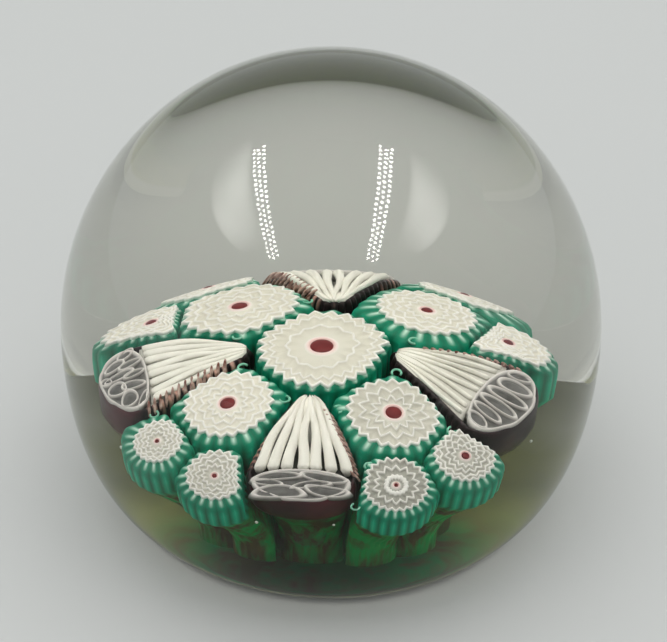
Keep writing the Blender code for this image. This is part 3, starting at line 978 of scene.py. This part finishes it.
# the bubbles of trapped air are painted pale, a painted glint
def makeBubbles():
    shade = Shade("trappedAir")
    glint = shade.mix(shade.noise(800.0, 2.0), *caneTones["airGlint"])
    airGlint = shade.finish(Base_Color=glint, Roughness=0.2, Specular_IOR_Level=0.6)
    bm = bmesh.new()
    for name, along, side in bubbles:
        middle = shellSpot(name, along, side)
        spot = spotOn(middle.x * mm, middle.y * mm, random.uniform(3.0, 3.8) * mm)
        bmesh.ops.create_icosphere(bm, subdivisions=2, radius=random.uniform(0.14, 0.24) * mm,
                                   matrix=Matrix.Translation(spot))
    place(keepMesh(bm, "trapped_air", airGlint), "crystal")


def makeShell(name, glasses, edge):
    makeJacket(name, glasses["jacket"], edge)
    makeRibs(name, glasses["rib"])
    makeFolds(name, glasses["fold"])
    makeThread(name, glasses["thread"])


view = {
    "elevation": 36.0,
    "distance": 280.0 * mm,
    "aim": 23.56 * mm,
    "lens": 116.16,
    "roll": 0.0138,
    "shift": 0.0036,
}


def makeCamera():
    tilt = math.radians(view["elevation"])
    forward = Vector((0.0, math.cos(tilt), -math.sin(tilt)))
    up = Vector((0.0, math.sin(tilt), math.cos(tilt)))
    right = Vector((1.0, 0.0, 0.0))
    leanRight = right * math.cos(view["roll"]) + up * math.sin(view["roll"])
    leanUp = up * math.cos(view["roll"]) - right * math.sin(view["roll"])
    stand = Vector((0.0, 0.0, view["aim"])) - forward * view["distance"]
    turned = Matrix((leanRight, leanUp, -forward)).transposed().to_4x4()
    data = bpy.data.cameras.new("camera")
    data.lens = view["lens"]
    data.sensor_width = 36.0
    data.shift_x = view["shift"]
    data.clip_start = 0.01
    camera = bpy.data.objects.new("camera", data)
    camera.matrix_world = Matrix.Translation(stand) @ turned
    bpy.context.scene.collection.objects.link(camera)
    bpy.context.scene.camera = camera


def mirrored(obj):  # seen in the crystal's surface, and nowhere else
    obj.visible_camera = False
    obj.visible_diffuse = False
    obj.visible_transmission = False
    obj.visible_shadow = False


stage = {
    "halfWide": 0.9,
    "halfDeep": 0.6,
    "middle": 0.25,
    "floorLevel": -0.02 * mm,
    "mirrorLevel": -0.01 * mm,
    "floorTones": ((0.452, 0.461, 0.445), (0.472, 0.475, 0.462)),
    "mirrorPale": ((0.44, 0.45, 0.43), (0.47, 0.475, 0.46)),
    "mirrorShadowed": ((0.13, 0.138, 0.11), (0.17, 0.175, 0.15)),  # painted shadow in front of the weight
    "shadowFrom": -0.005,
    "shadowOver": 0.05,
    "shadowSide": 0.34,
    "shadowFade": 0.2,
    "roomTones": ((0.030, 0.036, 0.022), (0.05, 0.055, 0.04)),
    "roomHalf": (0.8, 0.45),  # across and up
    "roomAt": (-0.45, 0.1),   # away and up
}


def floorGrid(cells, level):
    bm = bmesh.new()
    bmesh.ops.create_grid(bm, x_segments=cells, y_segments=cells, size=1.0)
    for vert in bm.verts:
        away = stage["middle"] + stage["halfDeep"] * vert.co.y
        vert.co = Vector((stage["halfWide"] * vert.co.x, away, level))
    return bm


def makeFloor():
    shade = Shade("paleFloor")
    tone = shade.mix(shade.noise(6.0, 2.0), *stage["floorTones"])
    floor = keepMesh(floorGrid(12, stage["floorLevel"]), "floor", shade.finish(Base_Color=tone, Roughness=0.6))
    floor.visible_glossy = False


def makeMirroredFloor():  # the floor as the crystal mirrors it, with a painted shadow on the near side
    shade = Shade("mirroredFloor")
    murk = shade.noise(5.0, 2.0)
    tone = shade.mix(shade.attribute("shadedFront"), shade.mix(murk, *stage["mirrorPale"]),
                     shade.mix(murk, *stage["mirrorShadowed"]))
    bm = floorGrid(60, stage["mirrorLevel"])
    shadedFront = bm.verts.layers.float.new("shadedFront")
    for vert in bm.verts:
        ahead = min(1.0, max(0.0, (stage["shadowFrom"] - vert.co.y) / stage["shadowOver"]))
        aside = min(1.0, max(0.0, (stage["shadowSide"] - abs(vert.co.x)) / stage["shadowFade"]))
        vert[shadedFront] = ahead * aside
    mirrored(keepMesh(bm, "mirrored_floor", shade.finish(Base_Color=tone, Roughness=0.9)))


def makeRoom():  # the dim side of the room behind the camera
    shade = Shade("dimRoom")
    tone = shade.mix(shade.noise(3.0, 2.0), *stage["roomTones"])
    bm = bmesh.new()
    bmesh.ops.create_grid(bm, x_segments=6, y_segments=6, size=1.0)
    for vert in bm.verts:
        vert.co = Vector((stage["roomHalf"][0] * vert.co.x, stage["roomAt"][0],
                          stage["roomHalf"][1] * vert.co.y + stage["roomAt"][1]))
    room = keepMesh(bm, "dim_room", shade.finish(Base_Color=tone, Roughness=0.9))
    room.visible_camera = False
    room.visible_diffuse = False


lights = {
    "sky": (0.95, 0.98, 1.0),
    "skyStrength": 0.75,
    "lampSize": (1.2, 1.0),
    "lampHeight": 1.1,
    "lampEnergy": 9.6,
    "tentTop": 0.85,      # level of the two lamp strips that the crystal mirrors
    "strips": ((-0.41, -0.50, 0.37), (0.278, -0.53, 0.32)),  # across, nearest end, farthest end
    "stripRows": 24,
    "stripPitch": 0.032,  # between its three lines of lamps
    "bead": 0.0105,
    "beadGlow": 26.0,
    "clothTones": ((0.75, 0.78, 0.8), (5.2, 5.2, 5.0)),
    # the two lit patches: side, inner and outer edge, nearest and farthest end
    "cloths": ((-1.0, 0.47, 0.86, -0.42, 0.50), (1.0, 0.44, 0.82, -0.42, 0.36)),
    "clothLevel": 0.86,
}


def makeStrips():  # two strips of small lamps
    shade = Shade("lampBeads")
    glass = shade.finish(Base_Color=(0.8, 0.8, 0.8, 1.0), Emission_Color=(1.0, 0.99, 0.97, 1.0),
                         Emission_Strength=lights["beadGlow"])
    bm = bmesh.new()
    for across, near, far in lights["strips"]:
        for row in range(lights["stripRows"]):
            for line in (-1, 0, 1):
                share = (row + 0.5 * (line % 2)) / lights["stripRows"]
                spot = Vector((across + line * lights["stripPitch"] + random.uniform(-0.003, 0.003),
                               near + (far - near) * share, lights["tentTop"]))
                bmesh.ops.create_circle(bm, cap_ends=True, segments=10, radius=lights["bead"],
                                        matrix=Matrix.Translation(spot))
    mirrored(keepMesh(bm, "lamp_strips", glass))


def makeCloths():  # the lit cloth beside them, bright in the middle of each patch
    shade = Shade("litCloth")
    cloud = shade.noise(5.0, 3.0)
    share = (shade.attribute("edge") * (0.6 + 0.6 * cloud)).clamped()
    cloth = shade.finish(Base_Color=(0.0, 0.0, 0.0, 1.0), Emission_Strength=1.0,
                         Emission_Color=shade.mix(share, *lights["clothTones"]))
    bm = bmesh.new()
    edge = bm.verts.layers.float.new("edge")
    for sign, inner, outer, near, far in lights["cloths"]:
        made = bmesh.ops.create_grid(bm, x_segments=16, y_segments=16, size=1.0)["verts"]
        for vert in made:
            x, y = vert.co.x, vert.co.y
            vert[edge] = (1.0 - x ** 6) * (1.0 - y ** 4) * (0.55 + 0.45 * math.sin(2.0 + 2.4 * y + x))
            curl = 0.10 * y * y
            across = 0.5 * (inner + outer) + 0.5 * (outer - inner) * x * (1.0 - 0.4 * y * y) - curl
            away = 0.5 * (near + far) + 0.5 * (far - near) * y
            vert.co = Vector((sign * across, away, lights["clothLevel"]))
    mirrored(keepMesh(bm, "lit_cloth", cloth))


def makeLight():
    world = bpy.data.worlds.new("studio")
    world.use_nodes = True
    sky = world.node_tree.nodes["Background"].inputs
    sky["Color"].default_value = (*lights["sky"], 1.0)
    sky["Strength"].default_value = lights["skyStrength"]
    bpy.context.scene.world = world
    data = bpy.data.lights.new("overhead", "AREA")
    data.shape = "RECTANGLE"
    data.size, data.size_y = lights["lampSize"]
    data.energy = lights["lampEnergy"]
    lamp = bpy.data.objects.new("overhead", data)
    lamp.location = (0.0, 0.1, lights["lampHeight"])
    lamp.visible_glossy = False
    bpy.context.scene.collection.objects.link(lamp)
    bpy.context.scene.view_settings.view_transform = "Standard"


makeCamera()
makeFloor()
makeMirroredFloor()
makeRoom()
makeLight()
makeStrips()
makeCloths()
print("camera, stage and lights set")
makeCrystal()
makeGroundFace()
print("crystal and ground face made")
glasses = {
    "star": starMaterial(),
    "ruby": eyeMaterial(),
    "casing": casingMaterial(),
    "rib": ribMaterial(),
    "fold": foldMaterial(),
    "jacket": jacketMaterial(),
    "thread": threadMaterial(),
}
for name in roundCanes:
    makeRound(name, glasses)
print("round canes made:", len(roundCanes))
edge = shellEdge()
for name in shellCanes:
    makeShell(name, glasses, edge)
print("shell canes made:", len(shellCanes))
makeCurls(curlMaterial())
makeBubbles()
print("curls and bubbles made:", len(curls), len(bubbles))
